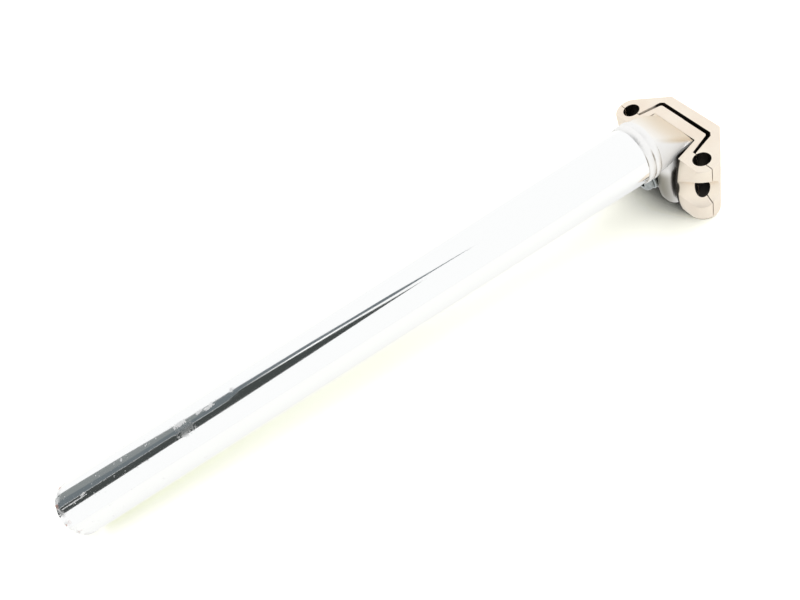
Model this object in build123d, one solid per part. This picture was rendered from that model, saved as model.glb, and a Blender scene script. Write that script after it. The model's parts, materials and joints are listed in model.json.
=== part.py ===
from build123d import *
import math
import os

# A setback bicycle seatpost, lying at rest: a straight round tube, a head welded
# to its upper end, and a two-piece saddle rail clamp on a curved seat behind it.
# Lengths are in millimetres and angles in degrees.

# Tube
TUBE_DIAMETER = 27.2
TUBE_WALL = 2.4
POST_LENGTH = 320.0
TUBE_END_CHAMFER = 0.8

# Saddle rails and clamp
RAIL_DIAMETER = 7.0
RAIL_SPACING = 44.0
CLAMP_LENGTH = 36.0
CLAMP_SETBACK = 17.3
CLAMP_LEAN = 8.0
LOBE_WALL = 3.3
CROWN_HEIGHT = 15.6
CROWN_HALF_WIDTH = 14.2
CROWN_ROUND = 2.0
LIP_HEIGHT = -0.9
LIP_GAP = 0.3
TONGUE_HEIGHT = 9.6
TONGUE_HALF_WIDTH = 13.6
TONGUE_FOOT_HALF_WIDTH = 16.7
TONGUE_ROUND = 1.4
LAND_HEIGHT = 0.2
SLOT_GAP = 1.5
SLOT_SIDE_GAP = 1.3
SCOOP_RADIUS = 11.6
SCOOP_LENGTH = 16.4
SCOOP_FORWARD = 1.3
SCOOP_SLANT = 48.0
EDGE_BREAK = 0.35

# Curved seat between the head and the lower clamp
SEAT_RADIUS = 40.0
SEAT_CLEARANCE = 0.2
SEAT_FRONT_HEIGHT = 4.7
SEAT_THICKNESS = 6.6
HEAD_HALF_WIDTH = 11.9
HEAD_FRONT_RISE = 0.2
HEAD_REAR_REACH = 0.2
HEAD_END_ROUND = 5.0
HEAD_EDGE_ROUND = 4.0
HEAD_FLANK_DEPTH = 2.4
TRACK_CLEARANCE = 0.4
LEG_SIDE_CLEARANCE = 0.4
LEG_FLARE = 3.3
LEG_DEPTH = 8.75
LEG_BOW_RADIUS = 63.5
LEG_BOW_SETBACK = 2.0

# Neck of the head and its weld
NECK_LENGTH = 18.0
NECK_TAPER_END = 4.0
NECK_BEVEL = 31.3
NECK_BEVEL_ROUND = 1.0
SPIGOT_LENGTH = 12.0
SPIGOT_CLEARANCE = 0.1
BEAD_WIDTH = 6.4
BEAD_HEIGHT = 1.0
BEAD_VALLEY = 0.55
BEAD_ROOT = 1.2
# Where each pass has its shoulders and its crest, as shares of the bead's half width
BEAD_OUTER_SHOULDER = 0.8
BEAD_CREST = 0.55
BEAD_INNER_SHOULDER = 0.25

# Clamp bolt, curved washer and nut
BOLT_DIAMETER = 6.0
BOLT_SETBACK = 3.5
BOLT_HEAD_DIAMETER = 10.0
BOLT_HEAD_HEIGHT = 3.3
BOLT_HEAD_CROWN = 1.8
BOLT_TIP_BREAK = 0.6
BOLT_SOCKET_SIZE = 4.0
BOLT_SOCKET_DEPTH = 2.2
BOLT_STICKOUT = 2.0
BOLT_HOLE_CLEARANCE = 0.4
BOLT_SLOT_CLEARANCE = 0.6
TILT_NOSE_DOWN = 11.0
TILT_NOSE_UP = 2.5
WASHER_DIAMETER = 11.5
WASHER_THICKNESS = 3.6
WASHER_BREAK = 0.5
NUT_SIZE = 10.0
NUT_HEIGHT = 5.0
NUT_POCKET_CLEARANCE = 0.1
NUT_THREAD_CLEARANCE = 0.1
NUT_FLOOR = 3.3
BOSS_WALL = 2.2

# Sizes that follow from the ones above. In the clamp's own frame X runs across the
# rails, Y along the post towards the saddle, Z along the rails towards the front.
tube_radius = TUBE_DIAMETER / 2
rail_radius = RAIL_DIAMETER / 2
rail_x = RAIL_SPACING / 2
lobe_radius = rail_radius + LOBE_WALL
half_length = CLAMP_LENGTH / 2
span = 2 * (rail_x + lobe_radius) + 2 * CLAMP_LENGTH

seat_axis_z = -BOLT_SETBACK
seat_front_run = half_length - seat_axis_z
seat_axis_y = SEAT_FRONT_HEIGHT + math.sqrt(SEAT_RADIUS**2 - seat_front_run**2)
underside_radius = SEAT_RADIUS + SEAT_THICKNESS
underside_y = seat_axis_y - underside_radius
flank_radius = underside_radius + HEAD_FLANK_DEPTH
nose_down_run = underside_radius * math.sin(math.radians(TILT_NOSE_DOWN))
nose_up_run = underside_radius * math.sin(math.radians(TILT_NOSE_UP))

leg_half_width = HEAD_HALF_WIDTH + LEG_SIDE_CLEARANCE
leg_bow_y = LEG_BOW_RADIUS - LEG_DEPTH

washer_base_y = underside_y - WASHER_THICKNESS
slot_roof_y = TONGUE_HEIGHT + SLOT_GAP
nut_floor_y = slot_roof_y + NUT_FLOOR
nut_top_y = nut_floor_y + NUT_HEIGHT
bolt_radius = BOLT_DIAMETER / 2
bolt_hole_radius = bolt_radius + BOLT_HOLE_CLEARANCE
boss_radius = NUT_SIZE / math.sqrt(3) + NUT_POCKET_CLEARANCE + BOSS_WALL

# Rest: the lower end of the tube and the rear edges of the clamp's legs touch the floor.
lean = math.radians(CLAMP_LEAN)
rear_edge_y = leg_bow_y - math.sqrt(LEG_BOW_RADIUS**2 - (half_length - LEG_BOW_SETBACK) ** 2)
contact_along = rear_edge_y * math.cos(lean) + half_length * math.sin(lean)
contact_drop = CLAMP_SETBACK - rear_edge_y * math.sin(lean) + half_length * math.cos(lean)
incline = math.atan2(contact_drop - tube_radius, POST_LENGTH - TUBE_END_CHAMFER + contact_along)

post_frame = Location(
    Plane(origin=(0, 0, 0), x_dir=(0, -1, 0), z_dir=(-math.sin(incline), 0, math.cos(incline)))
)
clamp_frame = post_frame * Location((0, 0, -CLAMP_SETBACK), (CLAMP_LEAN, 0, 0))


def across(radius, width=span):
    """A cylinder along X, on the axis of the curved seat."""
    return Pos(0, seat_axis_y, seat_axis_z) * Cylinder(radius, width, rotation=(0, 90, 0))


def along_post(radius, low, high):
    """A cylinder along Y on the bolt's line, from low to high."""
    middle = Pos(0, (low + high) / 2, seat_axis_z)
    return middle * Cylinder(radius, high - low, rotation=(-90, 0, 0))


def hexagon(size, low, high):
    """A hexagonal bar along Y on the bolt's line, size across its flats."""
    outline = Plane.XZ * RegularPolygon(size / 2, 6, major_radius=False)
    return Pos(0, low, seat_axis_z) * extrude(outline, amount=high - low, dir=(0, 1, 0))


def block_below(half_width, height):
    """A sketch of everything below a height, between two sides."""
    return Pos(0, height - span / 2) * Rectangle(2 * half_width, span)


def tongue(top_extra=0.0, side_extra=0.0):
    """The raised middle of the lower clamp between the rails, in the front view."""
    top = TONGUE_HEIGHT + top_extra
    half = TONGUE_HALF_WIDTH + side_extra
    foot = TONGUE_FOOT_HALF_WIDTH + side_extra
    outline = Polygon((-half, top), (half, top), (foot, LAND_HEIGHT), (-foot, LAND_HEIGHT), align=None)
    return fillet(outline.vertices().group_by(Axis.Y)[-1], TONGUE_ROUND + side_extra)


def clamp_outline():
    """The outline of the closed clamp from the front, with a round lobe at each rail."""
    lobes = [Pos(side * rail_x, 0) * CenterArc((0, 0), lobe_radius, 0, 360) for side in (-1, 1)]
    crown = Line((-CROWN_HALF_WIDTH, CROWN_HEIGHT), (CROWN_HALF_WIDTH, CROWN_HEIGHT))
    sole = Line((-leg_half_width - LEG_FLARE, -LEG_DEPTH), (leg_half_width + LEG_FLARE, -LEG_DEPTH))
    outline = make_hull([*lobes, crown, sole])
    return fillet(outline.vertices().group_by(Axis.Y)[-1], CROWN_ROUND)


def rails():
    """The two rail holes in the front view."""
    return [Pos(side * rail_x, 0) * Circle(rail_radius) for side in (-1, 1)]


def scoops():
    """Slanted hollows across the outer ends, deep enough to bare the rails."""
    slant = math.radians(SCOOP_SLANT)
    outward = Vector(math.cos(slant), -math.sin(slant), 0)
    depth_run = math.sqrt(SCOOP_RADIUS**2 - (SCOOP_LENGTH / 2) ** 2)
    lip_corner = Vector(rail_x + lobe_radius, LIP_HEIGHT, 0)
    reach = lip_corner.dot(outward) + depth_run
    middle = outward * reach + Vector(0, 0, SCOOP_FORWARD)
    right = Plane(origin=middle, x_dir=(0, 0, 1), z_dir=(math.sin(slant), math.cos(slant), 0))
    cutter = right * Cylinder(SCOOP_RADIUS, span)
    return [cutter, mirror(cutter, Plane.YZ)]


def clamp_envelope():
    """The whole outside of the clamp, with the edges of its front and rear faces broken."""
    solid = extrude(clamp_outline(), amount=half_length, both=True)
    return chamfer(solid.faces().filter_by(Axis.Z).edges(), EDGE_BREAK)


def lower_clamp():
    """Half that straddles the head: tongue, rail grooves, and a leg at each side."""
    below = block_below(span, LIP_HEIGHT - LIP_GAP / 2) + block_below(rail_x, LAND_HEIGHT)
    body = clamp_envelope() & extrude(below + tongue() - rails(), amount=half_length, both=True)
    roof = SEAT_FRONT_HEIGHT + SEAT_THICKNESS
    flare_foot = leg_half_width + LEG_FLARE
    channel = Polygon(
        (-leg_half_width, roof),
        (leg_half_width, roof),
        (leg_half_width, SEAT_FRONT_HEIGHT),
        (flare_foot, -LEG_DEPTH),
        (-flare_foot, -LEG_DEPTH),
        (-leg_half_width, SEAT_FRONT_HEIGHT),
        align=None,
    )
    channel_cut = extrude(channel, amount=CLAMP_LENGTH, both=True) - across(SEAT_RADIUS - SEAT_CLEARANCE)
    leg_bow = Pos(0, leg_bow_y, -LEG_BOW_SETBACK) * Cylinder(LEG_BOW_RADIUS, span, rotation=(0, 90, 0))
    bolt_hole = along_post(bolt_hole_radius, -span / 2, span / 2)
    return (body & leg_bow) - channel_cut - scoops() - bolt_hole


def upper_clamp():
    """Cap over the rails, with a boss on its crown that holds the nut."""
    below = block_below(span, LIP_HEIGHT + LIP_GAP / 2) + block_below(rail_x, LAND_HEIGHT + LIP_GAP)
    hollow = below + tongue(SLOT_GAP, SLOT_SIDE_GAP) + rails()
    body = clamp_envelope() - extrude(hollow, amount=half_length, both=True)
    boss = along_post(boss_radius, nut_floor_y, nut_top_y)
    pocket = hexagon(NUT_SIZE + 2 * NUT_POCKET_CLEARANCE, nut_floor_y, nut_top_y + NUT_HEIGHT)
    bolt_hole = along_post(bolt_hole_radius, 0, nut_top_y)
    return body + boss - pocket - bolt_hole - scoops()


def clamp_bolt():
    """Round-headed socket bolt, put in from below behind the tube."""
    head_low = washer_base_y - BOLT_HEAD_HEIGHT
    head = along_post(BOLT_HEAD_DIAMETER / 2, head_low, washer_base_y)
    head = chamfer(head.edges().sort_by(Axis.Y)[0], BOLT_HEAD_CROWN)
    shank = along_post(bolt_radius, washer_base_y, nut_top_y + BOLT_STICKOUT)
    shank = chamfer(shank.edges().sort_by(Axis.Y)[-1], BOLT_TIP_BREAK)
    socket = hexagon(BOLT_SOCKET_SIZE, head_low, head_low + BOLT_SOCKET_DEPTH)
    return head + shank - socket


def seat_washer():
    """Round washer under the head, hollowed to slide along its curved underside."""
    disc = along_post(WASHER_DIAMETER / 2, washer_base_y, underside_y + WASHER_THICKNESS)
    disc = chamfer(disc.edges().sort_by(Axis.Y)[0], WASHER_BREAK)
    bolt_hole = along_post(bolt_hole_radius, -span / 2, span / 2)
    return disc - across(underside_radius + SEAT_CLEARANCE) - bolt_hole


def clamp_nut():
    """Hexagonal nut, seated on the floor of the boss's pocket."""
    nut = hexagon(NUT_SIZE, nut_floor_y, nut_top_y)
    return nut - along_post(bolt_radius + NUT_THREAD_CLEARANCE, 0, span)


def post_tube():
    """Straight tube along the post, open at its lower end."""
    length = POST_LENGTH - NECK_LENGTH
    middle = Pos(0, -NECK_LENGTH - length / 2, 0)
    outer = middle * Cylinder(tube_radius, length, rotation=(-90, 0, 0))
    outer = chamfer(outer.edges().sort_by(Axis.Y)[0], TUBE_END_CHAMFER)
    outer = chamfer(outer.edges().sort_by(Axis.Y)[-1], BEAD_WIDTH / 2, BEAD_ROOT)
    return outer - middle * Cylinder(tube_radius - TUBE_WALL, length, rotation=(-90, 0, 0))


def neck(bevel):
    """Tapered neck along the post, bevelled in front, with the spigot that locates it in the tube."""
    spigot_radius = tube_radius - TUBE_WALL - SPIGOT_CLEARANCE
    weld_edge = -NECK_LENGTH + BEAD_WIDTH / 2
    slope = (tube_radius - HEAD_HALF_WIDTH) / (-NECK_TAPER_END - weld_edge)
    foot = weld_edge - BEAD_WIDTH
    foot_radius = tube_radius + slope * BEAD_WIDTH
    tip = SEAT_FRONT_HEIGHT + NECK_BEVEL_ROUND
    tip_radius = HEAD_HALF_WIDTH - slope * (tip + NECK_TAPER_END)
    root_outline = Polyline(
        (0, -NECK_LENGTH - SPIGOT_LENGTH),
        (spigot_radius, -NECK_LENGTH - SPIGOT_LENGTH),
        (spigot_radius, -NECK_LENGTH),
        (tube_radius - BEAD_ROOT, -NECK_LENGTH),
        (tube_radius, weld_edge),
        (0, weld_edge),
        close=True,
    )
    taper_outline = Polygon((0, foot), (foot_radius, foot), (tip_radius, tip), (0, tip), align=None)
    post_in_clamp = clamp_frame.inverse() * post_frame
    root = post_in_clamp * revolve(make_face(root_outline), Axis.Y)
    taper = post_in_clamp * revolve(taper_outline, Axis.Y)
    root = split(root, bisect_by=bevel, keep=Keep.BOTTOM)
    taper = split(taper, bisect_by=bevel, keep=Keep.BOTTOM)
    rim = taper.edges().filter_by(GeomType.ELLIPSE)
    rim = rim.filter_by(lambda edge: abs(bevel.to_local_coords(edge.center()).Z) < EDGE_BREAK)
    taper = fillet(rim, NECK_BEVEL_ROUND)
    below_weld = post_in_clamp * Pos(0, weld_edge - span / 2, 0) * Box(span, span, span)
    return root + (taper - below_weld - across(SEAT_RADIUS))


def seat_block():
    """Curved bar that carries the clamp, round along its lower edges and tracked for the washer."""
    front = half_length + HEAD_FRONT_RISE
    rear = -half_length - HEAD_REAR_REACH
    window = Pos((front + rear) / 2, 0) * Rectangle(front - rear, span)
    centre = Pos(seat_axis_z, seat_axis_y)
    side = (centre * Circle(flank_radius) - centre * Circle(SEAT_RADIUS)) & window
    corners = side.vertices().group_by(Axis.Y)
    side = fillet(corners[0] + corners[1], HEAD_END_ROUND)
    across_plane = Plane(origin=(0, 0, 0), x_dir=(0, 0, 1), z_dir=(-1, 0, 0))
    bar = extrude(across_plane * side, amount=HEAD_HALF_WIDTH, both=True)
    section = Pos(0, flank_radius - SEAT_THICKNESS) * Rectangle(2 * HEAD_HALF_WIDTH, 2 * SEAT_THICKNESS)
    section = fillet(section.vertices().group_by(Axis.Y)[-1], HEAD_EDGE_ROUND)
    ring = Pos(0, seat_axis_y, seat_axis_z) * revolve(section, Axis.X)
    track_half_width = WASHER_DIAMETER / 2 + TRACK_CLEARANCE
    track_front = seat_axis_z + nose_up_run + track_half_width
    track = Pos(0, 0, track_front - span / 2) * Box(2 * track_half_width, span, span)
    track -= across(underside_radius)
    return (bar & ring) - track


def head():
    """Neck and curved seat in one piece, slotted for the bolt and bevelled in front."""
    front_edge = (SEAT_FRONT_HEIGHT, half_length + HEAD_FRONT_RISE)
    slant = math.radians(NECK_BEVEL + CLAMP_LEAN)
    bevel = Plane(origin=(0, *front_edge), x_dir=(1, 0, 0), z_dir=(0, math.sin(slant), math.cos(slant)))
    body = split(seat_block(), bisect_by=bevel, keep=Keep.BOTTOM) + neck(bevel)
    slot_radius = bolt_radius + BOLT_SLOT_CLEARANCE
    slot_run = nose_up_run + nose_down_run
    slot = Pos(0, 0, -nose_down_run) * along_post(slot_radius, -span / 2, span / 2)
    slot += Pos(0, 0, nose_up_run) * along_post(slot_radius, -span / 2, span / 2)
    slot += Pos(0, 0, seat_axis_z + nose_up_run - slot_run / 2) * Box(2 * slot_radius, span, slot_run)
    return body - across(SEAT_RADIUS) - slot


def weld_bead():
    """Ring of two weld passes round the joint of tube and neck, filling their groove."""
    half = BEAD_WIDTH / 2
    crown = tube_radius + BEAD_HEIGHT
    shoulder = tube_radius + (BEAD_HEIGHT + BEAD_VALLEY) / 2
    flank = [
        (tube_radius, half),
        (shoulder, BEAD_OUTER_SHOULDER * half),
        (crown, BEAD_CREST * half),
        (shoulder, BEAD_INNER_SHOULDER * half),
    ]
    valley = (tube_radius + BEAD_VALLEY, 0)
    lower = [(radius, -offset) for radius, offset in flank]
    root = (tube_radius - BEAD_ROOT, 0)
    outline = Polyline(*flank, valley, *reversed(lower), root, close=True)
    return Pos(0, -NECK_LENGTH, 0) * revolve(make_face(outline), Axis.Y)


placed = {
    "post_tube": post_frame * post_tube(),
    "weld_bead": post_frame * weld_bead(),
    "post_head": clamp_frame * head(),
    "lower_clamp": clamp_frame * lower_clamp(),
    "upper_clamp": clamp_frame * upper_clamp(),
    "clamp_bolt": clamp_frame * clamp_bolt(),
    "seat_washer": clamp_frame * seat_washer(),
    "clamp_nut": clamp_frame * clamp_nut(),
}

# The origin is the middle of the floor under the whole post.
box = Compound(list(placed.values())).bounding_box()
to_floor = Location((-box.center().X, -box.center().Y, -box.min.Z))

os.makedirs("parts", exist_ok=True)
for node, solid in placed.items():
    export_step(to_floor * solid, f"parts/{node}.step")
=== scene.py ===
import json
import math

import bmesh
import bpy
from bpy.props import FloatProperty, FloatVectorProperty, PointerProperty
from mathutils import Matrix, Vector, noise


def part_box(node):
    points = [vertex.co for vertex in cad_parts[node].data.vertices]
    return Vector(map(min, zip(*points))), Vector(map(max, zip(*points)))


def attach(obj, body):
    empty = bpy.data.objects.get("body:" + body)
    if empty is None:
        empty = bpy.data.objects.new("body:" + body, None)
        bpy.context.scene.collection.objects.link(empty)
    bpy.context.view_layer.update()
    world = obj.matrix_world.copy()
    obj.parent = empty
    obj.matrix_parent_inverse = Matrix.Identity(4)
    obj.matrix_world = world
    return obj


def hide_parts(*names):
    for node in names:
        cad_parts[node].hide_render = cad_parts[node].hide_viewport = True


bl_info = {
    "name": "Setback Seatpost",
    "version": (1, 0, 0),
    "blender": (4, 5, 0),
    "location": "View3D > Sidebar > Seatpost",
    "description": "Finishes a welded bicycle seatpost with a two-piece saddle rail clamp",
    "category": "Object",
}

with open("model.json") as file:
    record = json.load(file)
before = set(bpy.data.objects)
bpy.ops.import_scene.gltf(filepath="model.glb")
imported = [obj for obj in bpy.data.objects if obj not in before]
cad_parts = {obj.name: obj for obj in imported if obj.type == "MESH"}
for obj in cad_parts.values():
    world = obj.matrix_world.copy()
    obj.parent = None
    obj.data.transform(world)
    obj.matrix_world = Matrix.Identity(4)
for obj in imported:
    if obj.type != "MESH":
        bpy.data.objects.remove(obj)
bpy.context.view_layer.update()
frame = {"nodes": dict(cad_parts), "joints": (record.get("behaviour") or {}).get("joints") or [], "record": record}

MM = 0.001
MOUNTS = {mount["name"]: mount for mount in frame["record"]["mounts"]}
JOINTS = {joint["name"]: joint for joint in frame["joints"]}


def reach(node, origin, axis):
    """Lowest and highest reach of a CAD node along an axis through a point."""
    along = [(vertex.co - origin).dot(axis) for vertex in frame["nodes"][node].data.vertices]
    return min(along), max(along)


def axis_matrix(origin, axis):
    """A matrix with its Z along the axis and its Y across the post."""
    across = Vector((0, 1, 0))
    side = across.cross(axis).normalized()
    matrix = Matrix((side, across, axis)).transposed().to_4x4()
    matrix.translation = origin
    return matrix


# The line of the tube, from its open lower end
POST_AXIS = -Vector(MOUNTS["post"]["axis"]).normalized()
TUBE_RADIUS = MOUNTS["post"]["dims"]["r_mm"] * MM
tube_point = Vector(MOUNTS["post"]["pos_m"])
tube_low, tube_high = reach("post_tube", tube_point, POST_AXIS)
TUBE_FOOT = tube_point + POST_AXIS * tube_low
TUBE_LENGTH = tube_high - tube_low

# The line of the clamp bolt, from the underside of its head towards the saddle
BOLT_AXIS = -Vector(JOINTS["bolt_turn"]["axis"]).normalized()
BOLT_SEAT = Vector(JOINTS["bolt_turn"]["pos_m"])
bolt_low, BOLT_LENGTH = reach("clamp_bolt", BOLT_SEAT, BOLT_AXIS)
BOLT_HEAD_HEIGHT = -bolt_low
NUT_LOW, NUT_HIGH = reach("clamp_nut", BOLT_SEAT, BOLT_AXIS)

# The middle of the weld
weld_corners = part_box("weld_bead")
WELD_MIDDLE = (weld_corners[0] + weld_corners[1]) / 2
weld_low, weld_high = reach("weld_bead", WELD_MIDDLE, POST_AXIS)
WELD_WIDTH = weld_high - weld_low

# The clamp's own frame: X across the rails, Y towards the saddle, Z along the rails to the front
RAIL_AXIS = Vector(MOUNTS["rail_left"]["axis"]).normalized()
RAIL_RADIUS = MOUNTS["rail_left"]["dims"]["r_mm"] * MM
FRONT_FACE = MOUNTS["rail_left"]["dims"]["length_mm"] * MM / 2
rail_left = Vector(MOUNTS["rail_left"]["pos_m"])
rail_right = Vector(MOUNTS["rail_right"]["pos_m"])
RAIL_OFFSET = (rail_left - rail_right).length / 2
CLAMP_FRAME = Matrix((BOLT_AXIS.cross(RAIL_AXIS), BOLT_AXIS, RAIL_AXIS)).transposed().to_4x4()
CLAMP_FRAME.translation = (rail_left + rail_right) / 2


def colour_property(name, description, default):
    """A colour that a user would change."""
    return FloatVectorProperty(
        name=name, description=description, default=default, size=3, min=0, max=1, subtype="COLOR"
    )


def number_property(name, description, default, low=0, **settings):
    """A number that a user would change."""
    return FloatProperty(name=name, description=description, default=default, min=low, **settings)


def length_property(name, description, default):
    """A length in metres that a user would change."""
    return number_property(name, description, default, precision=5, unit="LENGTH")


def share_property(name, description, default):
    """A share from none to all."""
    return number_property(name, description, default, max=1, subtype="FACTOR")


def place_property(name, description, default, kind="TRANSLATION"):
    """A place or a turn on the stage."""
    return FloatVectorProperty(name=name, description=description, default=default, subtype=kind)


class SEATPOST_PG_tube(bpy.types.PropertyGroup):
    """Polished tube and its wear"""

    colour: colour_property("Polish", "Colour of the polished tube", (0.972, 0.98, 0.98))
    worn_colour: colour_property("Worn metal", "Colour of the scuffed metal", (0.94, 0.94, 0.94))
    rim_colour: colour_property("Rim stain", "Colour of the marks on the lower rim", (0.66, 0.45, 0.40))
    bore_colour: colour_property("Bore", "Colour of the tube's unpolished bore", (0.62, 0.62, 0.60))
    roughness: share_property("Roughness", "Roughness of the clean polish", 0.08)
    worn_roughness: share_property("Worn roughness", "Roughness where the polish is scuffed", 0.6)
    wall: length_property("Wall", "Thickness of the tube's wall", 2.4 * MM)
    worn_length: length_property("Worn length", "How far the scuffs reach from the lower end", 0.125)
    dent_depth: length_property("Rim dents", "Depth of the dents in the lower rim", 0.35 * MM)


class SEATPOST_PG_weld(bpy.types.PropertyGroup):
    """Two-pass weld bead"""

    colour: colour_property("Weld", "Colour of the weld", (0.96, 0.955, 0.945))
    # Painted shade in the creases along the weld's passes, on its low sides only
    crease_shade_colour: colour_property("Crease shade", "Colour along the edges of the passes", (0.42, 0.37, 0.31))
    roughness: share_property("Roughness", "Roughness of the weld", 0.5)
    ripple_pitch: length_property("Ripple pitch", "Distance between the weld's ripples", 1.9 * MM)
    ripple_height: length_property("Ripple height", "Height of the weld's ripples", 0.05 * MM)


class SEATPOST_PG_clamp(bpy.types.PropertyGroup):
    """Satin head and clamp halves"""

    clamp_colour: colour_property("Clamp", "Colour of the clamp halves", (0.97, 0.885, 0.77))
    clamp_shade: colour_property("Clamp shade", "Darker tone of the clamp halves", (0.93, 0.82, 0.70))
    head_colour: colour_property("Head", "Colour of the head", (0.97, 0.965, 0.955))
    head_shade: colour_property("Head shade", "Darker tone of the head", (0.92, 0.90, 0.86))
    bevel_colour: colour_property("Bevel", "Colour of the head's bevel", (0.88, 0.79, 0.66))
    # Painted shade for the head's low sides
    underside_shade_colour: colour_property("Underside", "Colour low on the head's sides", (0.24, 0.225, 0.175))
    # Painted shade on the legs' undersides beside the head
    leg_shade_colour: colour_property("Leg shade", "Colour of the grime on the clamp's legs", (0.5, 0.455, 0.36))
    # Near-black painted shade inside the slot, the rail holes and the gaps of the legs
    inner_shade_colour: colour_property(
        "Inner faces", "Colour inside the slot, the rail holes and the legs", (0.05, 0.044, 0.037)
    )
    clamp_roughness: share_property("Clamp roughness", "Roughness of the clamp halves", 0.42)
    head_roughness: share_property("Head roughness", "Roughness of the head", 0.3)
    flank_roughness: share_property("Flank roughness", "Roughness of the head's near flank", 0.8)
    inner_roughness: share_property("Inner roughness", "Roughness of the inner faces", 0.6)
    grain_size: length_property("Grain", "Size of the satin finish's grain", 0.25 * MM)
    tongue_height: length_property("Tongue", "Height of the tongue over the rails' middle", 9.6 * MM)
    tongue_half_width: length_property("Tongue half width", "Half the width of the tongue's top", 13.6 * MM)
    tongue_foot: length_property("Tongue foot", "Half the width of the tongue's foot", 16.7 * MM)
    tongue_round: length_property("Tongue round", "Rounding of the tongue's corners", 1.4 * MM)
    land_height: length_property("Land", "Height of the faces beside the tongue", 0.2 * MM)
    slot_gap: length_property("Slot", "Gap over the tongue", 1.5 * MM)
    slot_side_gap: length_property("Slot sides", "Gap beside the tongue", 1.3 * MM)
    leg_half_width: length_property("Legs", "Half the width between the legs at the seat", 12.3 * MM)
    leg_flare: length_property("Leg flare", "How far the legs' inner faces open out", 3.3 * MM)
    leg_depth: length_property("Leg depth", "Depth of the legs below the rails' middle", 8.75 * MM)
    seat_height: length_property("Seat", "Height of the seat's front edge over the rails' middle", 4.7 * MM)
    bevel_degrees: number_property("Bevel slant", "Slant of the head's bevel to the clamp", 39.3, max=90)


class SEATPOST_PG_fastener(bpy.types.PropertyGroup):
    """Bolt, washer and nut"""

    colour: colour_property("Steel", "Colour of the fasteners", (0.44, 0.47, 0.47))
    shade: colour_property("Steel shade", "Darker tone of the fasteners", (0.30, 0.32, 0.32))
    socket_shade_colour: colour_property("Socket shade", "Colour down in the bolt's socket", (0.015, 0.016, 0.017))
    roughness: share_property("Roughness", "Roughness of the fasteners", 0.3)
    bolt_diameter: length_property("Bolt", "Diameter of the bolt's thread", 6.0 * MM)
    head_diameter: length_property("Bolt head", "Diameter of the bolt's head", 10.0 * MM)
    socket_size: length_property("Socket", "Size of the bolt's socket across its flats", 4.0 * MM)
    socket_depth: length_property("Socket depth", "Depth of the bolt's socket", 2.2 * MM)
    thread_pitch: length_property("Pitch", "Pitch of the thread", 1.0 * MM)
    thread_length: length_property("Thread", "Length of the thread from the bolt's tip", 18.0 * MM)
    nut_size: length_property("Nut", "Size of the nut across its flats", 10.0 * MM)
    nut_bore: length_property("Nut bore", "Diameter of the nut's hole", 6.2 * MM)


class SEATPOST_PG_stage(bpy.types.PropertyGroup):
    """Floor, light and camera"""

    floor_colour: colour_property("Floor", "Colour of the floor", (0.97, 0.97, 0.88))
    # Both shadow colours are painted into the floor where it is closed in
    shadow_colour: colour_property("Shadow", "Colour of the floor close under the head", (0.04, 0.04, 0.03))
    tube_shadow_colour: colour_property(
        "Tube shadow", "Colour of the floor under the tube", (0.95, 0.99, 0.74)
    )
    shadow_reach: length_property("Shadow reach", "How far the deep shadow reaches", 0.08)
    floor_white: share_property("Floor white", "Share of plain white in the floor", 0.03)
    mirror_white: share_property(
        "Mirrored white", "Share of plain white in the floor that the metal mirrors", 0.8
    )
    floor_size: length_property("Floor size", "Width of the floor", 12.0)
    floor_gain: number_property("Floor gain", "How much paler the floor is to the camera", 1.45, low=1)
    shade_level: number_property("Shade", "Level of the light that the metal sends to the floor", 0.03)
    key_power: number_property("Key", "Power of the soft lamp", 7.0, unit="POWER")
    key_size: length_property("Key size", "Width of the soft lamp", 1.0)
    key_place: place_property("Key place", "Place of the soft lamp", (0.7, 0.3, 1.2))
    lens: number_property("Lens", "Focal length in millimetres", 24.06, low=1)
    sensor: number_property("Sensor", "Sensor width in millimetres", 36.0, low=1)
    camera_place: place_property("Camera", "Place of the camera", (0.00379, -0.1473, 0.21914))
    camera_turn: place_property(
        "Camera turn",
        "Turn of the camera",
        (math.radians(34.04), math.radians(17.17), math.radians(-25.08)),
        "EULER",
    )


def tree_node(tree, kind, inputs=None, **settings):
    """Add a node to a tree, with sockets linked or set."""
    made = tree.nodes.new(kind)
    for setting, value in settings.items():
        setattr(made, setting, value)
    for socket, value in (inputs or {}).items():
        if isinstance(value, bpy.types.NodeSocket):
            tree.links.new(value, made.inputs[socket])
        else:
            made.inputs[socket].default_value = value
    return made


def metal(name):
    """A new metal material: the material, its tree and its shader."""
    made = bpy.data.materials.new(name)
    made.use_nodes = True
    shader = made.node_tree.nodes["Principled BSDF"]
    shader.inputs["Metallic"].default_value = 1.0
    return made, made.node_tree, shader


def paint(colour):
    """A colour for a socket: as it is where a node gives it, else with full alpha."""
    return colour if isinstance(colour, bpy.types.NodeSocket) else (*colour, 1.0)


def object_place(tree, matrix=None):
    """Coordinates on the piece itself, measured in a frame of the piece's own."""
    place = tree_node(tree, "ShaderNodeTexCoord").outputs["Object"]
    if matrix is None:
        return place
    inverse = matrix.inverted()
    settled = {"Vector": place, "Location": inverse.translation, "Rotation": inverse.to_euler()}
    return tree_node(tree, "ShaderNodeMapping", settled).outputs["Vector"]


def stretched(tree, place, scale):
    """Coordinates with a scale of their own on each axis."""
    return tree_node(tree, "ShaderNodeMapping", {"Vector": place, "Scale": scale}).outputs["Vector"]


def axes(tree, place):
    """The three parts of a place."""
    return tree_node(tree, "ShaderNodeSeparateXYZ", {0: place}).outputs


def vector_node(tree, operation, first, second=(0, 0, 0)):
    """Two vectors put together."""
    return tree_node(tree, "ShaderNodeVectorMath", {0: first, 1: second}, operation=operation).outputs


def axis_distance(tree, place):
    """Distance from the Z axis of a place."""
    flat = vector_node(tree, "MULTIPLY", place, (1, 1, 0))["Vector"]
    return vector_node(tree, "LENGTH", flat)["Value"]


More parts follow.
